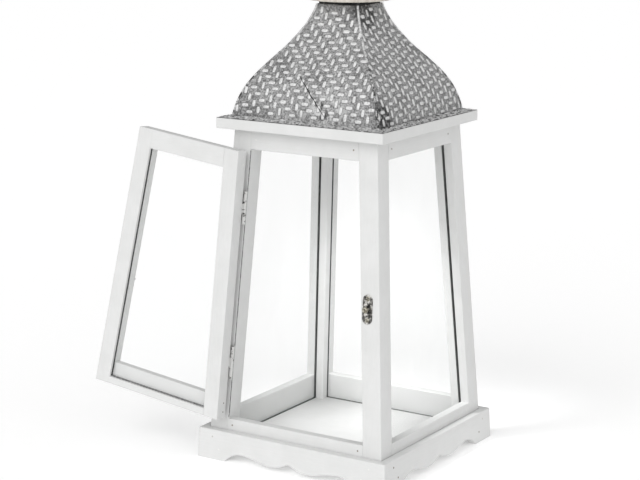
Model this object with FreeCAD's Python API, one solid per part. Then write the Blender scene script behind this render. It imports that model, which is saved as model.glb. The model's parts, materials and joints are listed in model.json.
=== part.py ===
"""Wooden candle lantern with a hinged glazed door and an embossed metal roof.

Millimetres.  +Z is up and the feet of the skirt stand on z = 0.  The front, where
the door hangs, faces -Y.  The four-sided frame tapers towards the roof, and the
door is modelled closed and then swung open on its hinges.
"""
import FreeCAD, Part
import math
import os

from FreeCAD import Matrix, Placement, Vector

# ---------------------------------------------------------------- skirt and floor
skirt_height = 27.0
skirt_half_top = 95.0
skirt_half_foot = 96.3
skirt_inner_half = 88.6
floor_top = 14.0
floor_thickness = 8.0

# ---------------------------------------------------------------- tapered frame
frame_half_at_skirt = 87.5
frame_taper = 0.062
frame_top = 292.5
post_width = 18.0
rail_thickness = 8.0
bottom_rail_top = 37.0
top_rail_height = 17.5
pane_thickness = 2.0
pane_play = 0.2
pane_in_post = 4.2

# ---------------------------------------------------------------- door
door_angle = 178.5
door_thickness = 13.0
door_bottom = 38.2
door_top = 274.0
door_gap_hinge = 1.5
door_gap_latch = 2.5
door_stile = 14.5
door_top_rail = 16.7
door_bottom_rail = 19.8
door_glass_ledge = 6.5
door_outer_lip = 8.0
door_glass_grip = 4.0

# ---------------------------------------------------------------- hinges
hinge_heights = {"upper": 225.0, "lower": 88.0}
hinge_length = 29.0
hinge_axis_front = 2.6
hinge_leaf_start = 2.0
hinge_leaf_width = 12.0
hinge_leaf_thickness = 0.62
knuckle_radius = 1.6
knuckle_gap = 0.15
pin_radius = 0.8
pin_clearance = 0.05
hinge_screw_radius = 0.8
hinge_screw_head = 1.8
hinge_screw_length = 6.0
hinge_screw_inset = 4.2
hinge_screw_heights = (-9.0, 9.0)

# ---------------------------------------------------------------- catch and hook
catch_height = 153.0
catch_inset = 2.4
plate_width = 9.4
plate_length = 25.0
plate_thickness = 0.9
plate_screw_offset = 9.0
plate_screw_head = 2.0
plate_screw_shank = 0.8
plate_screw_length = 6.0
stud_radius = 1.3
stud_head_radius = 2.6
stud_neck = 3.2
stud_length = 5.5
stud_head_rounding = 0.9
hook_pivot_inset = 7.2
hook_thickness = 1.4
hook_play = 0.2
hook_eye_radius = 3.4
hook_arm = 4.0
hook_nose_radius = 3.6
hook_tail_length = 7.5
hook_tail_width = 2.4
hook_tip_radius = 1.9
hook_seat_play = 0.2
rivet_radius = 1.5
rivet_head_radius = 2.9
rivet_head_height = 1.0
rivet_clearance = 0.05
anchor_in_wood = 4.0

# ---------------------------------------------------------------- roof
plate_half = 82.5
plate_board = 9.0
heat_hole_radius = 30.0
sheet = 0.8
flange_sheet = 0.6
# half-width of the ogee roof against height above the sheet flange
roof_outline = [(72.6, 0.0), (69.6, 12.5), (63.3, 27.5), (52.6, 43.0),
                (39.4, 59.0), (28.6, 75.0), (22.3, 88.5), (20.4, 95.0)]
seam_width = 2.6
seam_sheet = 0.5

# ---------------------------------------------------------------- cap and carry ring
collar_half = 19.0
collar_down = 7.0
collar_up = 3.0
collar_slot = (9.0, 1.6)
cap_radius = 36.0
cap_rim = 10.0
cap_rise = 10.0
cap_flat_radius = 9.0
boss_radius = 7.0
boss_height = 2.5
eye_radius = 5.6
eye_thickness = 3.0
eye_play = 0.4
ring_radius = 20.0
ring_wire = 1.8
ring_rest_gap = 0.3

# ---------------------------------------------------------------- brads
brad_radius = 0.8
skirt_brad_length = 13.0
rail_brad_length = 6.0
door_brad_length = 22.0
door_brad_radius = 0.64
door_brad_heights = (door_bottom + 6, door_bottom + 14, door_top - 12, door_top - 5)

SIDES = [("front", 0), ("right", 90), ("back", 180), ("left", 270)]
CORNERS = [("front_left", 0), ("front_right", 90), ("back_right", 180), ("back_left", 270)]
ORIGIN = Vector(0, 0, 0)
UP = Vector(0, 0, 1)
parts = {}


def half(z):
    """Half-width of the tapered frame at height z."""
    return frame_half_at_skirt - frame_taper * (z - skirt_height)


def corners_of(box, z):
    """Corners of a level rectangle (x0, x1, y0, y1), going round."""
    x0, x1, y0, y1 = box
    return [Vector(x0, y0, z), Vector(x1, y0, z), Vector(x1, y1, z), Vector(x0, y1, z)]


def flat_face(points):
    """Plane face through a ring of points."""
    return Part.Face(Part.makePolygon(points + points[:1]))


def tapered(box_at, z0, z1):
    """Flat-sided solid between two levels; box_at(z) gives its rectangle."""
    low = corners_of(box_at(z0), z0)
    high = corners_of(box_at(z1), z1)
    faces = [flat_face(low), flat_face(high)]
    for i in range(4):
        j = (i + 1) % 4
        faces.append(flat_face([low[i], low[j], high[j], high[i]]))
    solid = Part.makeSolid(Part.makeShell(faces))
    if solid.Volume < 0:
        solid.reverse()
    return solid


def turned(shape, angle, centre=ORIGIN, axis=UP):
    """Copy of a shape turned about an axis."""
    copy = shape.copy()
    copy.rotate(centre, axis, angle)
    return copy


def drilled(shape, tools):
    """Shape with each tool's volume taken out."""
    for tool in tools:
        if shape.BoundBox.intersect(tool.BoundBox):
            shape = shape.cut(tool)
    return shape


def single(shape):
    """The one solid inside a boolean's result."""
    return shape.Solids[0] if len(shape.Solids) == 1 else shape


def frame_of(x_axis, y_axis, z_axis, origin):
    """Placement whose local axes are the three given directions."""
    matrix = Matrix(x_axis.x, y_axis.x, z_axis.x, origin.x,
                    x_axis.y, y_axis.y, z_axis.y, origin.y,
                    x_axis.z, y_axis.z, z_axis.z, origin.z,
                    0, 0, 0, 1)
    return Placement(matrix)


def placed(shape, placement):
    """Copy of a shape made at the local origin, moved to a placement."""
    copy = shape.copy()
    copy.Placement = placement.multiply(copy.Placement)
    return copy


# ---------------------------------------------------------------- shared directions
hinge_axis = Vector(frame_taper, frame_taper, 1).normalize()
front_normal = Vector(0, -1, frame_taper).normalize()
front_up = Vector(0, frame_taper, 1).normalize()
hinge_depth = Vector(0, 1, -frame_taper).normalize()
hinge_side = hinge_depth.cross(hinge_axis)
# square distance from the hinge axis to the front faces
hinge_face = hinge_axis_front * hinge_depth.y


def hinge_line(z):
    """Point on the hinge axis at height z."""
    return Vector(-(half(z) - post_width) + door_gap_hinge / 2, -half(z) - hinge_axis_front, z)


def opened(shape):
    """The closed door's piece, swung to where the door stands."""
    return turned(shape, -door_angle, hinge_line(0), hinge_axis)


def front_place(x, z):
    """Placement on the front plane: X right, Y up the face, Z straight out."""
    return frame_of(Vector(1, 0, 0), front_up, front_normal, Vector(x, -half(z), z))


# ---------------------------------------------------------------- brads
def cylinder(radius, length, start, direction):
    """Round bar from a start point along a direction."""
    return Part.makeCylinder(radius, length, start, direction)


def skirt_brads():
    """Two brads per board end: one into the post, one into the floor board."""
    brads = []
    for name, angle in SIDES:
        for u, z in ((-80, 20.5), (80, 20.5), (-73, 10), (73, 10)):
            outer = skirt_half_top + (skirt_half_foot - skirt_half_top) * (1 - z / skirt_height)
            brad = cylinder(brad_radius, skirt_brad_length, Vector(u, -outer, z), Vector(0, 1, 0))
            brads.append(turned(brad, angle))
    return brads


def rail_brads():
    """Short pins near both ends of every rail."""
    brads = []
    for name, angle in SIDES:
        for z in (31.5, frame_top - top_rail_height / 2):
            for sign in (-1, 1):
                start = Vector(sign * (half(z) - post_width - 5), -half(z), z)
                brads.append(turned(cylinder(brad_radius * 0.9, rail_brad_length, start,
                                             front_normal.negative()), angle))
    return brads


# ---------------------------------------------------------------- skirt boards
def scallop():
    """Cutter for the board's lower edge: two arches, two lobes and a middle cusp."""
    right = [(67.0, -0.01), (61.0, 5.2), (51.0, 8.6), (36.0, 7.0),
             (28.0, 5.0), (20.0, 4.0), (11.0, 4.9), (0.0, 9.2)]
    y = -skirt_half_foot - 5
    curve = Part.BSplineCurve()
    curve.interpolate([Vector(u, y, z) for u, z in right])
    mirror = Part.BSplineCurve()
    mirror.interpolate([Vector(-u, y, z) for u, z in reversed(right)])
    left_foot = Vector(-right[0][0], y, right[0][1])
    right_foot = Vector(right[0][0], y, right[0][1])
    low = Vector(0, 0, -5)
    edges = [curve.toShape(), mirror.toShape(),
             Part.makeLine(left_foot, left_foot + low),
             Part.makeLine(left_foot + low, right_foot + low),
             Part.makeLine(right_foot + low, right_foot)]
    wire = Part.Wire(Part.__sortEdges__(edges))
    return Part.Face(wire).extrude(Vector(0, 20, 0))


def skirt_board(between):
    """One scalloped board at the front; 'between' boards fit inside the others."""
    def outer(z):
        return skirt_half_foot + (skirt_half_top - skirt_half_foot) * z / skirt_height

    def box(z):
        reach = skirt_inner_half if between else outer(z)
        return (-reach, reach, -outer(z), -skirt_inner_half)
    return tapered(box, 0, skirt_height).cut(scallop())


def make_base(brads):
    """Floor board and the four skirt boards."""
    side = 2 * skirt_inner_half
    floor = Part.makeBox(side, side, floor_thickness,
                         Vector(-skirt_inner_half, -skirt_inner_half, floor_top - floor_thickness))
    parts["floor_board"] = single(drilled(floor, brads))
    for name, angle in SIDES:
        board = turned(skirt_board(name in ("right", "left")), angle)
        parts["skirt_" + name] = single(drilled(board, brads))


# ---------------------------------------------------------------- frame
def pane_box(z, thickness, reach, play):
    """Rectangle of a front pane (or its slot) at height z."""
    outer = -half(z) + rail_thickness + pane_play
    side = half(z) - post_width + reach
    return (-side - play, side + play, outer - play, outer + thickness + play)


def pane():
    """Front glass pane standing on the floor board behind the rails."""
    return tapered(lambda z: pane_box(z, pane_thickness, pane_in_post, 0),
                   floor_top + 0.1, frame_top - 0.2)


def pane_slot():
    """Room for a pane in the posts on both sides of it."""
    return tapered(lambda z: pane_box(z, pane_thickness, pane_in_post, pane_play),
                   floor_top - 1, frame_top + 1)


def post():
    """Front-left corner post, square in plan and leaning with the taper."""
    def box(z):
        return (-half(z), -half(z) + post_width, -half(z), -half(z) + post_width)
    return tapered(box, floor_top, frame_top)


def rail(z0, z1):
    """Front rail between the posts, flush with their outer faces."""
    def box(z):
        side = half(z) - post_width
        return (-side, side, -half(z), -half(z) + rail_thickness)
    return tapered(box, z0, z1)


def make_frame(brads):
    """Posts, rails and the three fixed panes."""
    slots = [turned(pane_slot(), angle) for name, angle in SIDES if name != "front"]
    for name, angle in CORNERS:
        parts["corner_post_" + name] = single(drilled(turned(post(), angle), slots + brads))
    for name, angle in SIDES:
        low = turned(rail(floor_top, bottom_rail_top), angle)
        high = turned(rail(frame_top - top_rail_height, frame_top), angle)
        parts["bottom_rail_" + name] = single(drilled(low, brads))
        parts["top_rail_" + name] = single(drilled(high, brads))
        if name != "front":
            parts["glass_" + name] = turned(pane(), angle)


# ---------------------------------------------------------------- roof
def roof_curve(offset):
    """Ogee outline in the YZ plane, pushed outwards by an offset."""
    base = frame_top + plate_board + flange_sheet
    points = [Vector(0, -half_width, base + height) for half_width, height in roof_outline]
    curve = Part.BSplineCurve()
    curve.interpolate(points)
    if offset == 0:
        return curve
    moved = []
    for step in range(25):
        t = curve.FirstParameter + (curve.LastParameter - curve.FirstParameter) * step / 24
        tangent = curve.tangent(t)[0]
        outward = Vector(0, -tangent.z, tangent.y)
        moved.append(curve.value(t) + outward * offset)
    moved[0].z = points[0].z
    moved[-1].z = points[-1].z
    result = Part.BSplineCurve()
    result.interpolate(moved)
    return result


def roof_strip(inner_offset, outer_offset):
    """Sheet bent to the ogee across the front, before its sides are mitred."""
    reach = 90
    inner = roof_curve(inner_offset)
    outer = roof_curve(outer_offset)
    ends = [(inner.value(inner.FirstParameter), outer.value(outer.FirstParameter)),
            (inner.value(inner.LastParameter), outer.value(outer.LastParameter))]
    edges = [inner.toShape(), outer.toShape()] + [Part.makeLine(a, b) for a, b in ends]
    face = Part.Face(Part.Wire(Part.__sortEdges__(edges)))
    face.translate(Vector(-reach, 0, 0))
    return face.extrude(Vector(2 * reach, 0, 0))


def wedge(inset, reach=110):
    """Upright prism of the front quarter, each side moved in by an inset."""
    level = frame_top
    points = [Vector(0, -inset, level), Vector(reach, -reach - inset, level),
              Vector(-reach, -reach - inset, level)]
    return flat_face(points).extrude(Vector(0, 0, 2 * reach))


def hip_seam():
    """Folded strip over the hip between the front and right panels."""
    sheet_strip = roof_strip(0.0, seam_sheet)
    front_leg = sheet_strip.common(wedge(0)).cut(wedge(seam_width))
    legs = [leg for leg in front_leg.Solids if leg.CenterOfMass.x > 0]
    right_leg = turned(front_leg, 90)
    legs += [leg for leg in right_leg.Solids if leg.CenterOfMass.y < 0]
    return single(legs[0].fuse(legs[1:]).removeSplitter())


def make_roof():
    """Board under the roof, sheet flange, four ogee panels and their seams."""
    side = 2 * plate_half
    board = Part.makeBox(side, side, plate_board, Vector(-plate_half, -plate_half, frame_top))
    hole = cylinder(heat_hole_radius, plate_board + 2, Vector(0, 0, frame_top - 1), UP)
    parts["roof_board"] = single(board.cut(hole))
    edge = plate_half - 0.3
    inner = roof_outline[0][0] - sheet
    level = frame_top + plate_board
    flange = Part.makeBox(2 * edge, 2 * edge, flange_sheet, Vector(-edge, -edge, level))
    window = Part.makeBox(2 * inner, 2 * inner, 2, Vector(-inner, -inner, level - 0.5))
    parts["roof_flange"] = single(flange.cut(window))
    panel = single(roof_strip(-sheet, 0.0).common(wedge(0)))
    seam = hip_seam()
    for name, angle in SIDES:
        parts["roof_panel_" + name] = turned(panel, angle)
    for name, angle in CORNERS:
        parts["hip_seam_" + name] = turned(seam, angle - 90)


# ---------------------------------------------------------------- cap and ring
neck_top = frame_top + plate_board + flange_sheet + roof_outline[-1][1]
cap_bottom = neck_top + collar_up
cap_top = cap_bottom + cap_rim + cap_rise
cone_slope = cap_rise / (cap_radius - cap_flat_radius)
ring_droop = math.atan(cone_slope)
cone_tip = cap_top + cap_flat_radius * cone_slope
ring_pivot = Vector(0, 0, cone_tip + (ring_wire + ring_rest_gap) / math.cos(ring_droop))


def vent_collar():
    """Square sheet collar in the neck, slotted where it shows under the cap."""
    def tube(h):
        return Part.makeBox(2 * h, 2 * h, collar_down + collar_up,
                            Vector(-h, -h, neck_top - collar_down))
    collar = tube(collar_half).cut(tube(collar_half - sheet))
    length, height = collar_slot
    slots = []
    for name, angle in SIDES:
        for x in (-collar_half / 2, collar_half / 2):
            slot = Part.makeBox(length, 4, height,
                                Vector(x - length / 2, -collar_half - 1, neck_top + 1))
            slots.append(turned(slot, angle))
    return single(drilled(collar, slots))


def cap():
    """Turned cap: plain rim below a shallow cone with a flat top."""
    rim_top = cap_bottom + cap_rim
    outline = [Vector(0, 0, cap_bottom), Vector(cap_radius, 0, cap_bottom),
               Vector(cap_radius, 0, rim_top), Vector(cap_flat_radius, 0, cap_top),
               Vector(0, 0, cap_top)]
    return flat_face(outline).revolve(ORIGIN, UP, 360).Solids[0]


def cap_eye():
    """Boss on the cap with an upright eye for the ring."""
    boss = cylinder(boss_radius, boss_height, Vector(0, 0, cap_top), UP)
    side = Vector(1, 0, 0)
    start = ring_pivot - side * (eye_thickness / 2)
    disc = cylinder(eye_radius, eye_thickness, start, side)
    stem = Part.makeBox(eye_thickness, 2 * eye_radius, ring_pivot.z - cap_top,
                        Vector(-eye_thickness / 2, -eye_radius, cap_top))
    hole = cylinder(ring_wire + eye_play, 12, ring_pivot - side * 6, side)
    body = boss.fuse([disc, stem]).removeSplitter().cut(hole)
    below = Part.makeBox(40, 40, 20, Vector(-20, -20, cap_top - 20))
    return single(body.cut(below))


def carry_ring():
    """Round wire ring lying back on the cap, pivoting in the eye."""
    ring = Part.makeTorus(ring_radius, ring_wire, Vector(0, ring_radius, 0), UP)
    ring = turned(ring, -math.degrees(ring_droop), ORIGIN, Vector(1, 0, 0))
    ring.translate(ring_pivot)
    return ring


def make_cap():
    """Everything above the roof's neck."""
    parts["vent_collar"] = vent_collar()
    parts["roof_cap"] = cap()
    parts["cap_eye"] = cap_eye()
    parts["carry_ring"] = carry_ring()


# ---------------------------------------------------------------- door
def hinge_edge(z):
    return -(half(z) - post_width) + door_gap_hinge


def latch_edge(z):
    return half(z) - post_width - door_gap_latch


def door_block(x_from, x_to, depth0, depth1, z0, z1):
    """Piece of the closed door between two edges and two depths behind its face."""
    def box(z):
        return (x_from(z), x_to(z), -half(z) + depth0, -half(z) + depth1)
    return tapered(box, z0, z1)


def rail_from(z):
    return hinge_edge(z) + door_stile


def rail_to(z):
    return latch_edge(z) - door_stile


def door_pane(play):
    """Door glass, or the groove for it when play is added."""
    depth = door_outer_lip + pane_play
    return door_block(lambda z: rail_from(z) - door_glass_grip - play,
                      lambda z: rail_to(z) + door_glass_grip + play,
                      depth - play, depth + pane_thickness + play,
                      door_bottom + door_glass_ledge + 0.1 - play,
                      door_top - door_top_rail + door_glass_grip + play)


def door_brads():
    """Two brads through each stile into each rail end."""
    brads = []
    for z in door_brad_heights:
        y = -half(z) + door_outer_lip / 2
        brads.append(cylinder(door_brad_radius, door_brad_length,
                              Vector(hinge_edge(z), y, z), Vector(1, 0, 0)))
        brads.append(cylinder(door_brad_radius, door_brad_length,
                              Vector(latch_edge(z), y, z), Vector(-1, 0, 0)))
    return brads


def make_door(screws, hook_tools):
    """Stiles, rails and glass, made closed and stored open."""
    groove = door_pane(pane_play)
    brads = door_brads()
    full = door_thickness
    pieces = {
        "door_hinge_stile": door_block(hinge_edge, rail_from, 0, full, door_bottom, door_top),
        "door_latch_stile": door_block(rail_to, latch_edge, 0, full, door_bottom, door_top),
        "door_top_rail": door_block(rail_from, rail_to, 0, full,
                                    door_top - door_top_rail, door_top),
        "door_bottom_rail": door_block(rail_from, rail_to, 0, full,
                                       door_bottom, door_bottom + door_bottom_rail).cut(
            door_block(rail_from, rail_to, door_outer_lip, full + 1,
                       door_bottom + door_glass_ledge, door_bottom + door_bottom_rail + 1)),
    }
    for name, shape in pieces.items():
        parts[name] = opened(single(drilled(shape, [groove] + brads + screws + hook_tools)))
    parts["door_glass"] = opened(door_pane(0))
    # the brads reach through both stile and rail, flush with the stile's edge
    parts["door_brads"] = opened(Part.makeCompound(brads))


# ---------------------------------------------------------------- hinges
def hinge_place(height):
    """Local frame on the hinge axis: Z along it, Y into the frame, X to the door."""
    return frame_of(hinge_side, hinge_depth, hinge_axis, hinge_line(height))


def leaf(sign, knuckles):
    """Hinge leaf on the face of the post (-1) or of the door (+1), with its knuckles."""
    back = hinge_face - hinge_leaf_thickness
    low = -hinge_length / 2
    x0 = hinge_leaf_start if sign > 0 else -hinge_leaf_width
    shape = Part.makeBox(hinge_leaf_width - hinge_leaf_start, hinge_leaf_thickness, hinge_length,
                         Vector(x0, back, low))
    for z0, z1 in knuckles:
        barrel = Part.makeCylinder(knuckle_radius, z1 - z0, Vector(0, 0, z0), UP)
        tab = Part.makeBox(hinge_leaf_start, hinge_leaf_thickness, z1 - z0,
                           Vector(min(0, sign * hinge_leaf_start), back, z0))
        shape = shape.fuse([barrel, tab])
    clearance = pin_clearance if sign > 0 else 0
    bore = Part.makeCylinder(pin_radius + clearance, hinge_length + 2, Vector(0, 0, low - 1), UP)
    return shape.removeSplitter().cut(bore)


def hinge_screw(sign, z):
    """Screw through a leaf: flat head in the leaf and shank in the wood."""
    x = sign * (hinge_leaf_width - hinge_screw_inset)
    start = Vector(x, hinge_face - hinge_leaf_thickness, z)
    head = cylinder(hinge_screw_head, hinge_leaf_thickness, start, Vector(0, 1, 0))
    shank = cylinder(hinge_screw_radius, hinge_screw_length, start, Vector(0, 1, 0))
    return head.fuse(shank).removeSplitter()


def hinge_parts():
    """Leaves, pins and screws of both hinges, door closed."""
    third = hinge_length / 3
    low = -hinge_length / 2
    outer = [(low, low + third - knuckle_gap), (low + 2 * third + knuckle_gap, low + hinge_length)]
    middle = [(low + third, low + 2 * third)]
    pieces = {}
    post_screws = []
    door_screws = []
    for name, height in hinge_heights.items():
        place = hinge_place(height)
        sets = {-1: [], 1: []}
        for sign in sets:
            for z in hinge_screw_heights:
                sets[sign].append(hinge_screw(sign, z))
        post_leaf = drilled(leaf(-1, outer), sets[-1])
        door_leaf = drilled(leaf(1, middle), sets[1])
        pin = Part.makeCylinder(pin_radius, hinge_length, Vector(0, 0, low), UP)
        pieces["hinge_post_leaf_" + name] = placed(single(post_leaf), place)
        pieces["hinge_door_leaf_" + name] = placed(single(door_leaf), place)
        pieces["hinge_pin_" + name] = placed(pin, place)
        post_screws += [placed(screw, place) for screw in sets[-1]]
        door_screws += [placed(screw, place) for screw in sets[1]]
    return pieces, post_screws, door_screws


# ---------------------------------------------------------------- catch and hook
def obround(width, length, thickness):
    """Plate with round ends, standing upright, its back on z = 0."""
    straight = (length - width) / 2
    block = Part.makeBox(width, 2 * straight, thickness, Vector(-width / 2, -straight, 0))
    ends = [Part.makeCylinder(width / 2, thickness, Vector(0, y, 0), UP)
            for y in (-straight, straight)]
    return block.fuse(ends).removeSplitter()


def plate_screws():
    """Two flush screws of a hardware plate, clear of the hook that hangs over one."""
    screws = []
    for y in (-plate_screw_offset, plate_screw_offset):
        head = Part.makeCylinder(plate_screw_head, plate_thickness, Vector(0, y, 0), UP)
        shank = Part.makeCylinder(plate_screw_shank, plate_screw_length + plate_thickness,
                                  Vector(0, y, -plate_screw_length), UP)
        screws.append(head.fuse(shank).removeSplitter())
    return screws


def plate_with_holes(tools):
    """Obround plate drilled for its screws and its stud or rivet."""
    return single(drilled(obround(plate_width, plate_length, plate_thickness), tools))


def catch_stud():
    """Headed stud standing out of the catch plate."""
    neck = Part.makeCylinder(stud_radius, anchor_in_wood + stud_neck,
                             Vector(0, 0, -anchor_in_wood), UP)
    head = Part.makeCylinder(stud_head_radius, stud_length - stud_neck,
                             Vector(0, 0, stud_neck), UP)
    head = head.makeFillet(stud_head_rounding, [head.Edges[0]])
    return neck.fuse(head).removeSplitter()


def hook_rivet():
    """Rivet that holds the hook on its plate."""
    top = plate_thickness + 2 * hook_play + hook_thickness
    shank = Part.makeCylinder(rivet_radius, top + anchor_in_wood,
                              Vector(0, 0, -anchor_in_wood), UP)
    head = Part.makeCylinder(rivet_head_radius, rivet_head_height, Vector(0, 0, top), UP)
    return shank.fuse(head).removeSplitter()


def hook_lever(reach):
    """Hook pointing right: pivot eye, arm, and a notch that drops over the stud."""
    base = plate_thickness + hook_play
    eye = Part.makeCylinder(hook_eye_radius, hook_thickness, Vector(0, 0, base), UP)
    arm = Part.makeBox(reach, hook_arm, hook_thickness, Vector(0, -hook_arm / 2, base))
    nose = Part.makeCylinder(hook_nose_radius, hook_thickness, Vector(reach, 0, base), UP)
    tail = Part.makeBox(hook_tail_length, hook_tail_width, hook_thickness,
                        Vector(reach, -hook_tail_width / 4, base))
    tip = Part.makeCylinder(hook_tip_radius, hook_thickness,
                            Vector(reach + hook_tail_length, hook_tail_width / 4, base), UP)
    body = eye.fuse([arm, nose, tail, tip]).removeSplitter()
    through = base + 2 * hook_thickness
    bore = Part.makeCylinder(rivet_radius + rivet_clearance, through, ORIGIN, UP)
    seat_radius = stud_radius + hook_seat_play
    seat = Part.makeCylinder(seat_radius, through, Vector(reach, 0, 0), UP)
    mouth = Part.makeBox(2 * seat_radius, 2 * hook_nose_radius, through,
                         Vector(reach - seat_radius, -2 * hook_nose_radius, 0))
    return single(body.cut(bore.fuse([seat, mouth])))


def hanging_angle():
    """Angle at which the hook hangs straight down while the door stands open."""
    down = Part.makeLine(ORIGIN, Vector(0, 0, -1))
    down.rotate(ORIGIN, hinge_axis, door_angle)
    gravity = down.Vertexes[-1].Point
    return math.degrees(math.atan2(gravity.dot(front_up), gravity.x))


stud_x = half(catch_height) - post_width / 2 - catch_inset
hook_x = latch_edge(catch_height) - hook_pivot_inset


def make_hardware(post_tools):
    """Catch on the right front post and hook on the door."""
    place = front_place(stud_x, catch_height)
    screws = plate_screws()
    stud = catch_stud()
    parts["catch_plate"] = placed(plate_with_holes(screws + [stud]), place)
    parts["catch_stud"] = placed(stud, place)
    parts["catch_screws"] = Part.makeCompound([placed(screw, place) for screw in screws])
    post_tools += [placed(tool, place) for tool in screws + [stud]]
    place = front_place(hook_x, catch_height)
    rivet = hook_rivet()
    parts["hook_plate"] = opened(placed(plate_with_holes(screws + [rivet]), place))
    parts["hook_rivet"] = opened(placed(rivet, place))
    parts["hook_screws"] = opened(Part.makeCompound([placed(screw, place) for screw in screws]))
    lever = turned(hook_lever(stud_x - hook_x), hanging_angle())
    parts["hook_lever"] = opened(placed(lever, place))
    return [placed(tool, place) for tool in screws + [rivet]]


def make_hinges():
    """Both hinges: post leaves and pins fixed, door leaves on the door."""
    pieces, post_screws, door_screws = hinge_parts()
    for name, shape in pieces.items():
        parts[name] = opened(shape) if "door" in name else shape
    parts["hinge_post_screws"] = Part.makeCompound(post_screws)
    parts["hinge_door_screws"] = opened(Part.makeCompound(door_screws))
    return post_screws, door_screws


def report_joints():
    """Print each joint's place and axis for whoever assembles the record."""
    pivot = Part.makeLine(front_place(hook_x, catch_height).Base,
                          front_place(hook_x, catch_height).Base + front_normal)
    pivot = opened(pivot)
    start = pivot.Vertexes[0].Point
    axis = pivot.Vertexes[1].Point - start
    print("door hinge point", hinge_line(catch_height), "axis", hinge_axis)
    print("hook pivot", start, "axis", axis, "latched at", -hanging_angle())
    print("ring pivot", ring_pivot, "swing", 180 + 2 * math.degrees(ring_droop))


def main():
    """Build every piece and write one STEP file for each."""
    base_brads = skirt_brads()
    frame_brads = rail_brads()
    post_screws, door_screws = make_hinges()
    post_tools = list(post_screws)
    hook_tools = make_hardware(post_tools)
    make_base(base_brads)
    make_frame(base_brads + frame_brads + post_tools)
    make_roof()
    make_cap()
    make_door(door_screws, hook_tools)
    parts["skirt_brads"] = Part.makeCompound(base_brads)
    parts["rail_brads"] = Part.makeCompound(frame_brads)
    os.makedirs("parts", exist_ok=True)
    for name, shape in parts.items():
        if not shape.isValid():
            print("invalid", name)
        shape.exportStep("parts/" + name + ".step")
    print(len(parts), "nodes")
    report_joints()


main()
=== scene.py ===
"""Looks of the candle lantern: painted wood, glass, dark hardware, embossed roof.

Metres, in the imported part's own frame.  Wooden pieces, panes and roof sheets are
rebuilt here with rounded edges and fine detail; hinges, stud, hook and ring keep
their CAD meshes and only get materials.
"""
import json
import math
import random

import bmesh
import bpy
from mathutils import Matrix, Vector, noise


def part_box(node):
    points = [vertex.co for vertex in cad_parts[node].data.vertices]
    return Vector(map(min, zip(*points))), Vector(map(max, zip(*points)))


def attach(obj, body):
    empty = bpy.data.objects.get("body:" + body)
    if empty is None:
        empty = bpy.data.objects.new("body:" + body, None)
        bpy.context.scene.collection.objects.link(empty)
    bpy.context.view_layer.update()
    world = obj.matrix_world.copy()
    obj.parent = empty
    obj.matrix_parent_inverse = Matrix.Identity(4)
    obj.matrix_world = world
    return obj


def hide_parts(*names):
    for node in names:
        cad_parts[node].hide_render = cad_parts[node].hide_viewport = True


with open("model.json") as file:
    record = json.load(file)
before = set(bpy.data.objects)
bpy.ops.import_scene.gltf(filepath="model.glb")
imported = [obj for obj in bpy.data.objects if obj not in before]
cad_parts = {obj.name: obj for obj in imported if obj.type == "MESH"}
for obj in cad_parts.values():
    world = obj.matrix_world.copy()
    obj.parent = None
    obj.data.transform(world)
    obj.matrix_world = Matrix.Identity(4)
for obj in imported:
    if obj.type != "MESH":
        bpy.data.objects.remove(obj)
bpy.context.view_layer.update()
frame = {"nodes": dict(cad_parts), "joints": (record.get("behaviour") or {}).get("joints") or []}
MM = 0.001
SIDES = [("front", 0), ("right", 90), ("back", 180), ("left", 270)]
CORNERS = [("front_left", 0), ("front_right", 90), ("back_right", 180), ("back_left", 270)]
BODY = "lantern_body"
DOOR = "door"

# ------------------------------------------------------- measures read from the frame
floor_low, floor_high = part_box("floor_board")
sill_low, sill_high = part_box("bottom_rail_front")
lintel_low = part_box("top_rail_front")[0]
skirt_low, skirt_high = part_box("skirt_front")
neck_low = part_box("vent_collar")[0]
cap_low, cap_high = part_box("roof_cap")
flange_low, flange_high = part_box("roof_flange")
hinge = next(joint for joint in frame["joints"] if joint["name"] == "door_hinge")

floor_top = floor_high.z
frame_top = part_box("roof_board")[0].z
roof_base = -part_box("roof_panel_front")[0].y
taper = (lintel_low.y - sill_low.y) / (lintel_low.z - sill_low.z)
door_angle = math.radians(hinge["range_deg"][1])
hinge_point = Vector(hinge["pos_m"])
hinge_axis = Vector(hinge["axis"]).normalized()

# ------------------------------------------------------- joinery sizes
post_width = 18 * MM
rail_thickness = 8 * MM
groove_outer = 8.0 * MM
groove_width = 2.4 * MM
groove_depth = 4.4 * MM
pane_thickness = 2.0 * MM
pane_setback = 8.2 * MM
pane_grip = 4.2 * MM
door_thickness = 13 * MM
door_stile = 14.5 * MM
door_gap_hinge = 1.5 * MM
door_gap_latch = 2.5 * MM
door_bottom = 38.2 * MM
door_top = 274.0 * MM
door_top_rail = 16.7 * MM
door_bottom_rail = 19.8 * MM
door_glass_ledge = 6.5 * MM
skirt_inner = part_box("skirt_right")[0].x - 0.5 * MM
skirt_top_half = 95.0 * MM
skirt_flat_reach = -skirt_low.y - 3.2 * MM
catch_height = 153 * MM
arris = 0.7 * MM
fine_arris = 0.3 * MM
proud = 0.04 * MM


def half(z):
    """Half-width of the tapered frame at height z, a hair inside the brads' ends."""
    return -sill_low.y - taper * (z - sill_low.z) - proud


# ------------------------------------------------------- mesh helpers
def new_object(name, vertices, faces, materials, face_materials=None, smooth_angle=35):
    """Mesh object with smooth shading below an angle."""
    mesh = bpy.data.meshes.new(name)
    mesh.from_pydata([tuple(v) for v in vertices], [], faces)
    for material in materials:
        mesh.materials.append(material)
    if face_materials:
        mesh.polygons.foreach_set("material_index", face_materials)
    mesh.update()
    thing = bpy.data.objects.new(name, mesh)
    bpy.context.scene.collection.objects.link(thing)
    mesh.polygons.foreach_set("use_smooth", [True] * len(mesh.polygons))
    mesh.set_sharp_from_angle(angle=math.radians(smooth_angle))
    return thing


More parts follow.
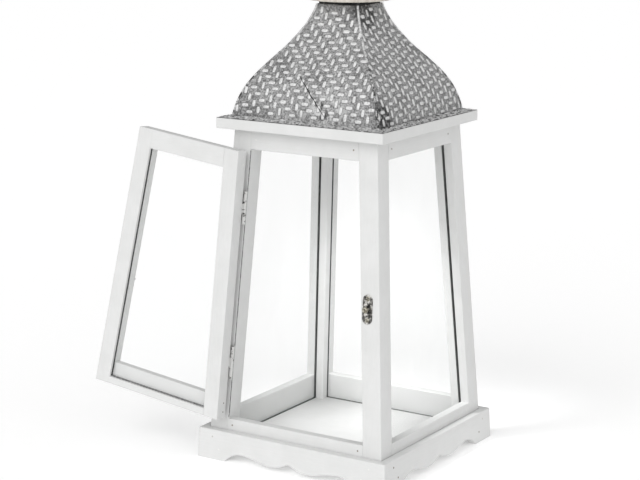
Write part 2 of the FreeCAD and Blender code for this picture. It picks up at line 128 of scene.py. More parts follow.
def rounded(points, radii, steps=4):
    """Outline with each corner turned into an arc of its own radius."""
    outline = []
    count = len(points)
    for i in range(count):
        here = Vector(points[i])
        back = (Vector(points[i - 1]) - here).normalized()
        ahead = (Vector(points[(i + 1) % count]) - here).normalized()
        radius = radii[i]
        if radius == 0:
            outline.append(here)
            continue
        turn = back.angle(ahead) / 2
        reach = radius / math.tan(turn)
        centre = here + (back + ahead).normalized() * (radius / math.sin(turn))
        start = here + back * reach - centre
        end = here + ahead * reach - centre
        for step in range(steps + 1):
            t = step / steps
            swing = start.lerp(end, t)
            outline.append(centre + swing.normalized() * radius)
    return outline


def about_z(degrees):
    return Matrix.Rotation(math.radians(degrees), 4, "Z")


def grid_faces(rows, columns):
    """Quads of a grid of points stored row by row, one more point than columns in each."""
    width = columns + 1
    return [(a, a + 1, a + width + 1, a + width)
            for row in range(rows) for a in range(row * width, row * width + columns)]


def loft(name, rings, materials, ring_materials=None, turn=0, transform=None):
    """Closed solid through equal rings of points, turned about Z and then transformed."""
    count = len(rings[0])
    move = transform @ about_z(turn) if transform else about_z(turn)
    vertices = [move @ Vector(p) for ring in rings for p in ring]
    faces = []
    indexes = []
    for r in range(len(rings) - 1):
        for i in range(count):
            j = (i + 1) % count
            faces.append((r * count + i, r * count + j, (r + 1) * count + j, (r + 1) * count + i))
            indexes.append(ring_materials[i] if ring_materials else 0)
    faces.append(tuple(reversed(range(count))))
    faces.append(tuple((len(rings) - 1) * count + i for i in range(count)))
    indexes += [0, 0]
    thing = new_object(name, vertices, faces, materials, indexes)
    fix_normals(thing)
    return thing


def fix_normals(thing, join=False):
    """Turn every face outwards, first joining doubled corners if asked."""
    work = bmesh.new()
    work.from_mesh(thing.data)
    if join:
        bmesh.ops.remove_doubles(work, verts=work.verts, dist=1e-6)
    bmesh.ops.recalc_face_normals(work, faces=work.faces)
    work.to_mesh(thing.data)
    work.free()
    thing.data.update()


def soften(thing, width=fine_arris, angle=40):
    """Small rounded edges."""
    bevel = thing.modifiers.new("edges", "BEVEL")
    bevel.width = width
    bevel.segments = 2
    bevel.limit_method = "ANGLE"
    bevel.angle_limit = math.radians(angle)


def standing(piece, body, slot, *nodes):
    """Ride a piece on its body and hide the CAD nodes it stands for."""
    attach(piece, body)
    if nodes:
        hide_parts(*nodes)


# ------------------------------------------------------- materials
class Finish:
    """A node-based material; most methods add nodes and return their output."""

    def __init__(self, name):
        self.material = bpy.data.materials.new(name)
        self.material.use_nodes = True
        self.nodes = self.material.node_tree.nodes
        self.links = self.material.node_tree.links
        self.shader = self.nodes["Principled BSDF"]

    def feed(self, value, socket):
        """Link an output to a socket, or set the socket to a constant."""
        if isinstance(value, bpy.types.NodeSocket):
            self.links.new(value, socket)
        else:
            socket.default_value = (*value, 1) if socket.type == "RGBA" else value

    def add(self, kind, inputs, **settings):
        """New node with its settings, its inputs fed by name or number."""
        node = self.nodes.new("ShaderNode" + kind)
        for name, value in settings.items():
            setattr(node, name, value)
        for key, value in inputs.items():
            self.feed(value, node.inputs[key])
        return node

    def surface(self, colour, roughness, metallic=0.0):
        """Colour, roughness and metal of the shader."""
        for name, value in (("Base Color", colour), ("Roughness", roughness),
                            ("Metallic", metallic)):
            self.feed(value, self.shader.inputs[name])

    def point(self, stretch=None):
        """Object coordinates, stretched by a scale if asked."""
        place = self.add("TexCoord", {}).outputs["Object"]
        if stretch is None:
            return place
        return self.add("Mapping", {"Vector": place, "Scale": stretch}).outputs["Vector"]

    def noise(self, scale, detail=4, roughness=0.6, stretch=None):
        """Noise value over the object."""
        inputs = {"Scale": scale, "Detail": detail, "Roughness": roughness,
                  "Vector": self.point(stretch)}
        return self.add("TexNoise", inputs).outputs["Fac"]

    def ramp(self, value, stops):
        """Colour ramp through (position, grey or colour) stops."""
        node = self.add("ValToRGB", {"Fac": value})
        elements = node.color_ramp.elements
        while len(elements) < len(stops):
            elements.new(0.5)
        for element, (position, colour) in zip(elements, stops):
            element.position = position
            rgb = colour if isinstance(colour, tuple) else (colour, colour, colour)
            element.color = (*rgb, 1)
        return node.outputs["Color"]

    def mix(self, factor, first, second, mode="MIX"):
        """Mix of two colours."""
        return self.add("Mix", {0: factor, 6: first, 7: second}, data_type="RGBA",
                        blend_type=mode).outputs[2]

    def product(self, first, second):
        """Two values multiplied and held between 0 and 1."""
        return self.add("Math", {0: first, 1: second}, operation="MULTIPLY",
                        use_clamp=True).outputs[0]

    def fade(self, value, start, end, low=0.0, high=1.0):
        """Value mapped from start and end to low and high."""
        return self.add("MapRange", {"Value": value, "From Min": start, "From Max": end,
                                     "To Min": low, "To Max": high}).outputs["Result"]

    def near(self, centre, radius):
        """1 at a place in the frame, falling to 0 at a radius from it."""
        away = self.add("VectorMath", {0: self.point(), 1: centre}, operation="DISTANCE")
        return self.fade(away.outputs["Value"], 0, radius, 1, 0)

    def bump(self, height, strength, distance):
        """Bump from a height value."""
        node = self.add("Bump", {"Strength": strength, "Distance": distance, "Height": height})
        self.feed(node.outputs["Normal"], self.shader.inputs["Normal"])


def speckled(name, texture, stops, roughness, metallic=0.0, relief=None):
    """One noise (scale, detail, roughness) through a colour ramp, with bump if asked."""
    finish = Finish(name)
    value = finish.noise(*texture)
    if isinstance(roughness, list):
        roughness = finish.ramp(value, roughness)
    finish.surface(finish.ramp(value, stops), roughness, metallic)
    if relief:
        finish.bump(value, *relief)
    return finish.material


def paint(name, grain, white=0.68):
    """Matte white paint over pine whose grain runs along one axis."""
    finish = Finish(name)
    stretch = [1.0, 1.0, 1.0]
    stretch["xyz".index(grain)] = 0.06
    fibres = finish.noise(900, 5, 0.65, stretch)
    clouds = finish.noise(45, 3)
    tone = finish.ramp(clouds, [(0.3, (white * 0.96, white * 0.965, white * 0.955)),
                                (0.7, (white * 1.02, white * 1.023, white * 1.017))])
    streak = finish.ramp(fibres, [(0.25, 0.965), (0.6, 1.0)])
    body = finish.mix(1.0, tone, streak, "MULTIPLY")
    dots = finish.ramp(finish.noise(520, 2), [(0.2, 0.8), (0.27, 1.0)])
    finish.surface(finish.mix(0.5, body, dots, "MULTIPLY"),
                   finish.ramp(clouds, [(0.3, 0.42), (0.7, 0.6)]))
    finish.bump(fibres, 0.35, 0.0004)
    return finish.material


def clear_glass():
    """Thin clear sheet glass, faintly smeared."""
    finish = Finish("clear_glass")
    smear = finish.noise(24, 3, stretch=(1, 1, 0.3))
    finish.surface((0.86, 0.88, 0.87), finish.ramp(smear, [(0.3, 0.02), (0.8, 0.09)]))
    finish.feed(finish.ramp(smear, [(0.35, 0.05), (0.75, 0.085)]), finish.shader.inputs["Alpha"])
    finish.feed(1.5, finish.shader.inputs["IOR"])
    return finish.material


def above_flange(x, y, z):
    """Point given in millimetres from the middle of the flange's top."""
    return Vector((x * MM, y * MM, flange_high.z + z * MM))


def zinc_ground():
    """Antiqued zinc between the raised marks, with black patina in a few places and painted shade
    at the neck under the cap.
    """
    finish = Finish("antiqued_zinc")
    fine = finish.noise(620, 5, 0.75)
    tone = finish.ramp(fine, [(0.34, 0.05), (0.43, 0.17), (0.55, 0.4), (0.68, 0.72)])
    shade = finish.ramp(finish.noise(60, 4, 0.65), [(0.3, 0.62), (0.5, 0.9), (0.72, 1.0)])
    body = finish.mix(1.0, tone, shade, "MULTIPLY")
    blotch = finish.ramp(finish.noise(330, 3, 0.7), [(0.38, 0.0), (0.5, 1.0)])
    hip = roof_base / MM
    neck = (neck_low.z - flange_high.z) / MM
    # place, radius and depth of each black patch; all are patina, the one at the neck is painted
    # shade under the cap as well
    patches = [(hip + 7, 12 - hip, 11, 19, 1.0), (hip + 4, 10 - hip, 26, 13, 0.9),
               (24, -12, neck, 17, 0.9), (-38, -52, 44, 16, 0.3), (20, -72, 7, 6, 0.9),
               (13, -70, 15, 5, 1.0), (-60, -70, 8, 16, 0.3)]
    for x, y, z, radius, depth in patches:
        reach = finish.product(finish.near(above_flange(x, y, z), radius * MM), 3.0)
        factor = finish.product(finish.product(reach, blotch), depth)
        body = finish.mix(factor, body, (0.012, 0.012, 0.012))
    scuff = finish.product(finish.near(above_flange(20, -hip, 10), 30 * MM),
                           finish.ramp(finish.noise(180, 3), [(0.5, 0.0), (0.6, 1.0)]))
    finish.surface(finish.mix(scuff, body, (0.68, 0.68, 0.68)),
                   finish.ramp(fine, [(0.3, 0.62), (0.7, 0.42)]), 0.12)
    finish.bump(fine, 0.5, 0.0006)
    return finish.material


def zinc_foot():
    """Pale crinkled flange with black specks and cracks."""
    finish = Finish("foot_zinc")
    fine = finish.noise(420, 5, 0.75)
    tone = finish.ramp(fine, [(0.38, 0.02), (0.44, 0.34), (0.5, 0.6), (0.66, 0.84)])
    shade = finish.ramp(finish.noise(90, 3), [(0.3, 0.75), (0.6, 1.0)])
    finish.surface(finish.mix(1.0, tone, shade, "MULTIPLY"), 0.5, 0.2)
    finish.bump(fine, 0.6, 0.0008)
    return finish.material


def seam_solder():
    """Solder along the hips: bright with dark scratches, worn dark towards the foot."""
    finish = Finish("seam_solder")
    value = finish.noise(260, 4, 0.75)
    tone = finish.ramp(value, [(0.36, 0.05), (0.44, 0.4), (0.6, 0.72)])
    height = finish.add("SeparateXYZ", {0: finish.point()}).outputs["Z"]
    low = finish.fade(height, flange_high.z + 66 * MM, flange_high.z + 36 * MM)
    worn = finish.product(low, finish.ramp(value, [(0.46, 1.0), (0.56, 0.15)]))
    finish.surface(finish.mix(worn, tone, (0.02, 0.02, 0.02)), 0.42, 0.3)
    finish.bump(value, 0.4, 0.0005)
    return finish.material


def whitewash():
    """Cream whitewash with upright streaks."""
    finish = Finish("whitewash")
    streaks = finish.noise(420, 4, 0.7, (1, 1, 0.04))
    tone = finish.ramp(streaks, [(0.3, (0.42, 0.38, 0.32)), (0.45, (0.6, 0.56, 0.49)),
                                 (0.65, (0.72, 0.69, 0.62))])
    shade = finish.ramp(finish.noise(90, 3), [(0.3, 0.86), (0.7, 1.0)])
    finish.surface(finish.mix(1.0, tone, shade, "MULTIPLY"), 0.62)
    finish.bump(streaks, 0.5, 0.0005)
    return finish.material


def brad_metal():
    """Brad heads: most are painted over, some show rusty steel."""
    finish = Finish("brad_heads")
    metal = finish.ramp(finish.noise(900, 3), [(0.35, (0.07, 0.06, 0.05)),
                                               (0.65, (0.25, 0.2, 0.15))])
    shown = finish.ramp(finish.noise(23, 1), [(0.5, 0.0), (0.53, 1.0)])
    finish.surface(finish.mix(shown, (0.74, 0.735, 0.72), metal), 0.55)
    return finish.material


paints = {grain: paint("white_paint_" + grain, grain) for grain in "xyz"}
side_paint = {"front": paints["x"], "right": paints["y"], "back": paints["x"],
              "left": paints["y"]}
# painted light: the floor's paint is lighter than the other white paint, standing in for light
# that the roof keeps off the inside
floor_paint_painted_light = paint("floor_paint_painted_light", "x", 0.8)
glass = clear_glass()
ground = zinc_ground()
foot_zinc = zinc_foot()
seam_zinc = seam_solder()
cream = whitewash()
brads = brad_metal()
# painted shade: near-black colour standing in for the shadow inside the glass grooves, in the
# floor's gap along the panes, along the roof crease and in the flange's folds and outer edge
painted_shade_black = speckled("groove_painted_shade", (300, 3), [(0.3, 0.006), (0.8, 0.02)], 0.9)
# cut edge of the glass: partly its own dark green, partly painted shade for the dark gap where
# the panes stand in their grooves and at their feet
glass_edge_and_shade = speckled("glass_edge_and_painted_shade", (200, 2),
                [(0.3, (0.01, 0.018, 0.014)), (0.7, (0.03, 0.05, 0.04))], 0.25)
# darker metal in the hollow round each raised mark, which is patina; also painted shade for the
# dark line beside the hinge post and at the foot of the door pane
patina_and_shade = speckled("hollow_zinc_patina_and_shade", (700, 4, 0.7), [(0.34, 0.05), (0.5, 0.2), (0.68, 0.42)],
                  0.6, 0.3)
# bright rubbed metal on the raised marks
rubbed = speckled("rubbed_zinc", (800, 3), [(0.3, 0.42), (0.5, 0.66), (0.7, 0.8)],
                  0.4, 0.1, (0.3, 0.0003))
# antique silver of the catch plates: bright high spots on black
silver = speckled("plate_silver", (330, 4, 0.65),
                  [(0.4, (0.012, 0.012, 0.011)), (0.5, (0.14, 0.135, 0.125)),
                   (0.58, (0.6, 0.59, 0.56)), (0.7, (0.8, 0.79, 0.75))],
                  0.35, 0.5, (0.5, 0.0006))
# nearly black antique iron, rubbed lighter in spots
iron = speckled("dark_iron", (700, 4, 0.7),
                [(0.35, (0.012, 0.011, 0.01)), (0.56, (0.05, 0.045, 0.038)),
                 (0.68, (0.3, 0.27, 0.21))],
                [(0.3, 0.55), (0.7, 0.33)], 0.7, (0.4, 0.0003))
# antique brass of screw heads, rivet and stud
brass = speckled("worn_brass", (650, 4, 0.7),
                 [(0.35, (0.045, 0.04, 0.033)), (0.5, (0.28, 0.26, 0.2)),
                  (0.7, (0.7, 0.69, 0.63))], 0.35, 0.8)
# black collar under the cap: partly dark patina, partly painted shade under the cap's overhang
collar_patina_and_shade = speckled("black_sheet", (400, 3), [(0.3, 0.008), (0.7, 0.03)], 0.7)
# white paint on the hinges, chipped through to dark iron
chipped = speckled("chipped_paint", (240, 4, 0.7),
                   [(0.41, (0.02, 0.018, 0.015)), (0.44, (0.6, 0.6, 0.59))],
                   0.5, 0.0, (0.3, 0.0003))


# ------------------------------------------------------- frame pieces
def post_ring(z, groove_a, groove_b):
    """Section of the front-left post; glass grooves on its +X and +Y faces as asked."""
    outer = -half(z)
    inner = outer + post_width
    deep = inner - groove_depth
    g0 = outer + groove_outer
    g1 = g0 + groove_width
    corners = [((outer, outer), arris), ((inner, outer), arris * 0.6)]
    if groove_a:
        corners += [((inner, g0), fine_arris), ((deep, g0), 0), ((deep, g1), 0),
                    ((inner, g1), fine_arris)]
    corners.append(((inner, inner), arris * 0.6))
    if groove_b:
        corners += [((g1, inner), fine_arris), ((g1, deep), 0), ((g0, deep), 0),
                    ((g0, inner), fine_arris)]
    corners.append(((outer, inner), arris * 0.6))
    outline = rounded(*zip(*corners))
    return [Vector((p.x, p.y, z)) for p in outline]


def in_groove(a, b, z):
    """Whether the wall between two points of a post's section is inside a glass groove."""
    inner = -half(z) + post_width
    g0 = -half(z) + groove_outer

    def deep(value):
        return inner - groove_depth - 0.1 * MM < value < inner - 0.25 * MM

    def level(value):
        return g0 - 0.05 * MM < value < g0 + groove_width + 0.05 * MM
    x, y = (a.x + b.x) / 2, (a.y + b.y) / 2
    return (deep(x) and level(y)) or (deep(y) and level(x))


def make_posts():
    """Corner posts with glass grooves whose walls get painted shade."""
    grooves = {"front_left": (False, True), "front_right": (True, False),
               "back_right": (True, True), "back_left": (True, True)}
    for name, angle in CORNERS:
        rings = [post_ring(z, *grooves[name]) for z in (floor_top, frame_top)]
        base = rings[0]
        inside = [int(in_groove(base[i - 1], base[i], floor_top)) for i in range(len(base))]
        inside = inside[1:] + inside[:1]
        piece = loft("post_" + name, rings, [paints["z"], painted_shade_black], inside, angle)
        standing(piece, BODY, "white_paint", "corner_post_" + name)


def rail_piece(name, z0, z1, side_at, depth0, depth1, material, radii, turn=0,
               transform=None):
    """Rail swept across the front between its two slanted ends."""
    def y_at(z, depth):
        return -half(z) + depth
    section = rounded([(y_at(z0, depth0), z0), (y_at(z0, depth1), z0),
                       (y_at(z1, depth1), z1), (y_at(z1, depth0), z1)], radii)
    rings = [[Vector((side_at(p.y, sign), p.x, p.y)) for p in section] for sign in (-1, 1)]
    return loft(name, rings, [material], None, turn, transform)


def post_edge(z, sign):
    """Inner edge of the posts on either side of an opening."""
    return sign * (half(z) - post_width)


def make_rails():
    """Bottom and top rails of the four sides."""
    for name, angle in SIDES:
        low = rail_piece("sill_" + name, floor_top, sill_high.z, post_edge, 0, rail_thickness,
                         side_paint[name], (0, 0, arris, arris), angle)
        standing(low, BODY, "white_paint", "bottom_rail_" + name)
        high = rail_piece("lintel_" + name, lintel_low.z, frame_top, post_edge, 0,
                          rail_thickness, side_paint[name], (arris, arris, 0, 0), angle)
        standing(high, BODY, "white_paint", "top_rail_" + name)


def pane_rings(z0, z1, side_at):
    """Two level rings of a glass sheet standing behind the rails."""
    rings = []
    for z in (z0, z1):
        y = -half(z) + pane_setback
        back = y + pane_thickness
        left = side_at(z, -1)
        right = side_at(z, 1)
        rings.append([Vector((x, depth, z)) for x, depth in
                      ((left, y), (right, y), (right, back), (left, back))])
    return rings


def make_panes():
    """Fixed panes, clear with dark cut edges."""
    def side(z, sign):
        return sign * (half(z) - post_width + pane_grip)
    for name, angle in SIDES[1:]:
        rings = pane_rings(floor_top + 0.1 * MM, frame_top - 0.2 * MM, side)
        piece = loft("pane_" + name, rings, [glass, glass_edge_and_shade], [0, 1, 0, 1], angle)
        dark_ends(piece)
        standing(piece, BODY, "clear_glass", "glass_" + name)


def dark_ends(piece):
    """The two end faces of a pane are cut edges too."""
    for polygon in piece.data.polygons[-2:]:
        polygon.material_index = 1


def make_floor():
    """Floor board with a narrow shadow gap along the three panes."""
    edge_reach = floor_high.x - proud
    gap_outer = half(floor_top) - pane_setback + 0.2 * MM
    gap_inner = gap_outer - pane_thickness - 0.8 * MM
    gap_depth = 3 * MM
    low = floor_low.z
    front = -half(floor_top) + rail_thickness
    xs = [-edge_reach, -gap_outer, -gap_inner, gap_inner, gap_outer, edge_reach]
    ys = [-edge_reach, front, gap_inner, gap_outer, edge_reach]

    def sunk(i, j):
        side_gap = i in (1, 3) and j in (1, 2)
        back_gap = j == 2 and i in (1, 2, 3)
        return side_gap or back_gap
    vertices = []
    faces = []
    marks = []

    def quad(corners, mark):
        base = len(vertices)
        vertices.extend(corners)
        faces.append(tuple(range(base, base + 4)))
        marks.append(mark)
    for i in range(len(xs) - 1):
        for j in range(len(ys) - 1):
            mark = int(sunk(i, j))
            z = floor_top - gap_depth * mark
            x0, x1, y0, y1 = xs[i], xs[i + 1], ys[j], ys[j + 1]
            quad([(x0, y0, z), (x1, y0, z), (x1, y1, z), (x0, y1, z)], mark)
            quad([(x0, y0, low), (x1, y0, low), (x1, y1, low), (x0, y1, low)], 0)
            for a, b, beside, outside in (((x0, y0), (x0, y1), (i - 1, j), i == 0),
                                          ((x1, y0), (x1, y1), (i + 1, j), i == len(xs) - 2),
                                          ((x0, y0), (x1, y0), (i, j - 1), j == 0),
                                          ((x0, y1), (x1, y1), (i, j + 1), j == len(ys) - 2)):
                if outside:
                    quad([(*a, low), (*b, low), (*b, floor_top), (*a, floor_top)], 0)
                # walls of the sunk gap get painted shade
                if mark and not sunk(*beside):
                    quad([(*a, z), (*b, z), (*b, floor_top), (*a, floor_top)], 1)
    piece = new_object("floor", vertices, faces, [floor_paint_painted_light, painted_shade_black], marks)
    fix_normals(piece, join=True)
    standing(piece, BODY, "white_paint", "floor_board")


# ------------------------------------------------------- skirt
def scallop_height(u):
    """Height of the skirt's lower edge at a distance u from the middle of a side."""
    foot_slope = -0.95
    # distance and height in millimetres, from the foot to the middle cusp
    points = [(67.0, 0.0), (61.0, 5.2), (51.0, 8.6), (36.0, 7.0), (28.0, 5.0), (20.0, 4.0),
              (11.0, 4.9), (0.0, 9.2)]
    u = abs(u) / MM
    if u >= points[0][0]:
        return 0
    for i in range(len(points) - 1):
        (u1, z1), (u2, z2) = points[i], points[i + 1]
        if u2 <= u <= u1:
            before = points[i - 1] if i else (u1 + 4, 0)
            after = points[i + 2] if i + 2 < len(points) else (-6, 11.6)
            m1 = (z2 - before[1]) / (u2 - before[0]) if i else foot_slope
            m2 = (after[1] - z1) / (after[0] - u1)
            t = (u - u1) / (u2 - u1)
            step = u2 - u1
            value = ((2 * t ** 3 - 3 * t ** 2 + 1) * z1 + (t ** 3 - 2 * t ** 2 + t) * step * m1
                     + (3 * t ** 2 - 2 * t ** 3) * z2 + (t ** 3 - t ** 2) * step * m2)
            return max(0, value) * MM
    return 0


def skirt_ring(u):
    """Section of a skirt board at u, kept inside the mitre at the corners."""
    top = skirt_high.z
    low = scallop_height(u)
    foot_half = -skirt_low.y - proud
    top_half = skirt_top_half - proud

    def outer(z):
        return foot_half + (top_half - foot_half) * z / top
    section = rounded([(skirt_inner, low), (outer(low), low), (outer(top), top),
                       (skirt_inner, top)], [0, 0.5 * MM, 0.9 * MM, 0])
    return [Vector((math.copysign(min(abs(u), p.x), u), -p.x, p.y)) for p in section]


def make_skirt():
    """Four scalloped boards, mitred and rounded at the corners."""
    count = 150
    positions = [skirt_flat_reach * (2 * i / count - 1) for i in range(count + 1)]
    positions += [sign * 67 * MM for sign in (-1, 1)] + [0]
    positions = sorted(set(round(p, 7) for p in positions))
    for name, angle in SIDES:
        rings = ([corner_ring(-1, step) for step in (3, 2, 1, 0)]
                 + [skirt_ring(u) for u in positions]
                 + [corner_ring(1, step) for step in (0, 1, 2, 3)])
        piece = loft("skirt_board_" + name, rings, [side_paint[name]], None, angle)
        standing(piece, BODY, "white_paint", "skirt_" + name)


def corner_ring(sign, step):
    """Section near a corner, its outside rounded over and its end on the mitre."""
    radius = 1.6 * MM
    base = skirt_ring(skirt_flat_reach)
    turn = math.radians(45 * step / 3)
    ring = []
    for p in base:
        reach = -p.y
        start = reach - radius
        share = (reach - skirt_inner) / (-skirt_low.y - skirt_inner)
        x = start + radius * math.sin(turn)
        y = start + radius * math.cos(turn)
        blend = max(0.0, min(1.0, share))
        px = blend * x + (1 - blend) * reach
        py = blend * y + (1 - blend) * reach
        if step == 3:
            px = py
        ring.append(Vector((sign * px, -py, p.z)))
    return ring


# ------------------------------------------------------- door
door_swing = (Matrix.Translation(hinge_point) @ Matrix.Rotation(-door_angle, 4, hinge_axis)
              @ Matrix.Translation(-hinge_point))


def door_edge(z, sign):
    """Outer edges of the closed door."""
    if sign < 0:
        return -(half(z) - post_width) + door_gap_hinge + proud
    return half(z) - post_width - door_gap_latch - proud


def door_inner_edge(z, sign):
    """Inner edges of its stiles."""
    return door_edge(z, sign) - sign * door_stile


def stile_ring(z, sign):
    """Section of a door stile with its glass groove towards the middle."""
    outer = door_edge(z, sign)
    inner = door_inner_edge(z, sign)
    deep = inner + sign * groove_depth
    y0 = -half(z)
    y1 = y0 + door_thickness - proud
    g0 = y0 + groove_outer
    g1 = g0 + groove_width
    points = [(outer, y0), (inner, y0), (inner, g0), (deep, g0), (deep, g1), (inner, g1),
              (inner, y1), (outer, y1)]
    radii = [arris * 0.6, arris * 0.5, fine_arris, 0, 0, fine_arris, arris * 0.5, arris * 0.6]
    return [Vector((p.x, p.y, z)) for p in rounded(points, radii)]


def make_hinge_gap_shade():
    """Painted shade: a dark line along the hinge post's corner beside the door, standing in for
    the shadow in the gap between door and post.
    """
    rings = []
    steps = 60
    for j in range(steps + 1):
        z = door_bottom + (door_top - door_bottom) * j / steps
        x = -(half(z) - post_width)
        y0 = -half(z) + 0.3 * MM
        y1 = y0 + (1.25 + 0.5 * noise.noise(Vector((4, 1, z * 300)))) * MM
        thick = 0.15 * MM
        rings.append([Vector((x - thick, y0, z)), Vector((x + thick, y0, z)),
                      Vector((x + thick, y1, z)), Vector((x - thick, y1, z))])
    piece = loft("hinge_gap_painted_shade", rings, [patina_and_shade])
    standing(piece, BODY, "white_paint")


def groove_ring(z, sign):
    """Section of the wood that closes a stile's groove at its ends."""
    inner = door_inner_edge(z, sign) + sign * 0.05 * MM
    deep = inner + sign * (groove_depth - 0.1 * MM)
    near_y = -half(z) + groove_outer + 0.02 * MM
    far_y = near_y + groove_width - 0.04 * MM
    return [Vector((inner, near_y, z)), Vector((deep, near_y, z)), Vector((deep, far_y, z)),
            Vector((inner, far_y, z))]


def stile_marks(ring, z, sign):
    """1 for the walls inside the groove."""
    inner = door_inner_edge(z, sign)
    marks = []
    for i in range(len(ring)):
        middle = (ring[i] + ring[(i + 1) % len(ring)]) / 2
        depth = (middle.x - inner) * sign
        back = middle.y + half(z) - groove_outer
        band = -0.05 * MM < back < groove_width + 0.05 * MM
        marks.append(int(band and 0.25 * MM < depth < groove_depth + 0.1 * MM))
    return marks


def make_door():
    """Stiles, rails and glass of the door, swung to its rest pose."""
    for name, sign in (("hinge", -1), ("latch", 1)):
        rings = [stile_ring(z, sign) for z in (door_bottom, door_top)]
        # the groove walls get painted shade
        piece = loft("door_stile_" + name, rings, [paints["z"], painted_shade_black],
                     stile_marks(rings[0], door_bottom, sign), 0, door_swing)
        soften(piece)
        standing(piece, DOOR, "white_paint", "door_" + name + "_stile")
        for end, z0, z1 in (("low", door_bottom + 0.05 * MM, door_bottom + 5 * MM),
                            ("high", door_top - 5 * MM, door_top - 0.05 * MM)):
            filler = loft("door_groove_end_" + name + "_" + end,
                          [groove_ring(z, sign) for z in (z0, z1)], [paints["z"]], None, 0,
                          door_swing)
            standing(filler, DOOR, "white_paint")
    full = door_thickness - proud
    top = rail_piece("door_rail_top", door_top - door_top_rail, door_top, door_inner_edge,
                     0, full, paints["x"], (fine_arris, fine_arris, arris, arris), 0,
                     door_swing)
    standing(top, DOOR, "white_paint", "door_top_rail")
    standing(door_low_rail(), DOOR, "white_paint", "door_bottom_rail")

    def grip(z, sign):
        return door_inner_edge(z, sign) + sign * (pane_grip - 0.2 * MM)
    rings = pane_rings(door_bottom + door_glass_ledge + 0.1 * MM,
                       door_top - door_top_rail + 1 * MM, grip)
    pane = loft("door_pane", rings, [glass, glass_edge_and_shade], [0, 1, 0, 1], 0, door_swing)
    dark_ends(pane)
    standing(pane, DOOR, "clear_glass", "door_glass")
    # painted shade: a thin dark strip where the door pane meets its ledge, standing in for the
    # shadow in the gap at the glass's foot
    strip = rail_piece("door_pane_foot_shade", door_bottom + door_glass_ledge,
                       door_bottom + door_glass_ledge + 0.9 * MM, door_inner_edge,
                       groove_outer + 0.05 * MM, groove_outer + groove_width, patina_and_shade,
                       (0, 0, 0, 0), 0, door_swing)
    standing(strip, DOOR, "black_sheet")


def door_low_rail():
    """Bottom rail: full thickness below the glass, only the outer lip above."""
    z0, z1 = door_bottom, door_bottom + door_bottom_rail
    ledge = z0 + door_glass_ledge
    full = door_thickness - proud
    lip = groove_outer

    def at(depth, z):
        return (-half(z) + depth, z)
    section = rounded([at(0, z0), at(full, z0), at(full, ledge), at(lip, ledge), at(lip, z1),
                       at(0, z1)], [arris, arris, fine_arris, 0, fine_arris, fine_arris])
    rings = [[Vector((door_inner_edge(p.y, sign), p.x, p.y)) for p in section]
             for sign in (-1, 1)]
    return loft("door_rail_low", rings, [paints["x"]], None, 0, door_swing)


# ------------------------------------------------------- roof
def roof_profile(count):
    """Points (half-width, height, distance along the sheet) of the roof's outside."""
    node = frame["nodes"]["roof_panel_front"]
    low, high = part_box("roof_panel_front")
    points = []
    travelled = 0
    for i in range(count + 1):
        z = low.z + (high.z - low.z) * min(max(i / count, 0.0005), 0.9995)
        where = node.ray_cast(Vector((0, low.y - 0.05, z)), Vector((0, 1, 0)))[1]
        point = (-where.y, z)
        if points:
            travelled += math.dist(point, points[-1][:2])
        points.append((*point, travelled))
    return points


class RoofFace:
    """The ogee as a bent strip, addressed by distance up the sheet."""

    def __init__(self, count=120):
        self.points = roof_profile(count)
        self.length = self.points[-1][2]

    def at(self, s):
        """Half-width, height and outward normal (y, z) at a distance up the sheet."""
        s = min(max(s, 0), self.length - 1e-6)
        points = self.points
        i = next(k for k in range(len(points) - 1) if points[k + 1][2] >= s)
        (h0, z0, s0), (h1, z1, s1) = points[i], points[i + 1]
        t = (s - s0) / (s1 - s0)
        direction = Vector((-(h1 - h0), z1 - z0)).normalized()
        return h0 + (h1 - h0) * t, z0 + (z1 - z0) * t, Vector((-direction.y, direction.x))

    def place(self, x, s, lift):
        """Point on the front face lifted off the sheet."""
        h, z, normal = self.at(s)
        return Vector((x, -h + normal.x * lift, z + normal.y * lift))


roof = RoofFace()


def dent(point, size=0.25 * MM, scale=38):
    """Gentle unevenness of hand-bent sheet."""
    return size * noise.noise(point * scale)


def make_roof_panels():
    """Four sheets, each with slight dents and real thickness."""
    rows = 90
    columns = 70
    for number, (name, angle) in enumerate(SIDES):
        vertices = []
        for j in range(rows + 1):
            s = roof.length * j / rows
            h = roof.at(s)[0]
            for i in range(columns + 1):
                share = 2 * i / columns - 1
                rim = min(1, (1 - abs(share)) * 8) * min(1, j / 4)
                point = roof.place(share * h, s, 0)
                lift = dent(point + Vector((number, 0, 0))) * rim
                vertices.append(roof.place(share * h, s, lift - 0.02 * MM))
        piece = new_object("roof_sheet_" + name, [about_z(angle) @ v for v in vertices],
                           grid_faces(rows, columns), [ground])
        solid = piece.modifiers.new("sheet", "SOLIDIFY")
        solid.thickness = 0.7 * MM
        solid.offset = -1
        standing(piece, BODY, "antiqued_zinc", "roof_panel_" + name)


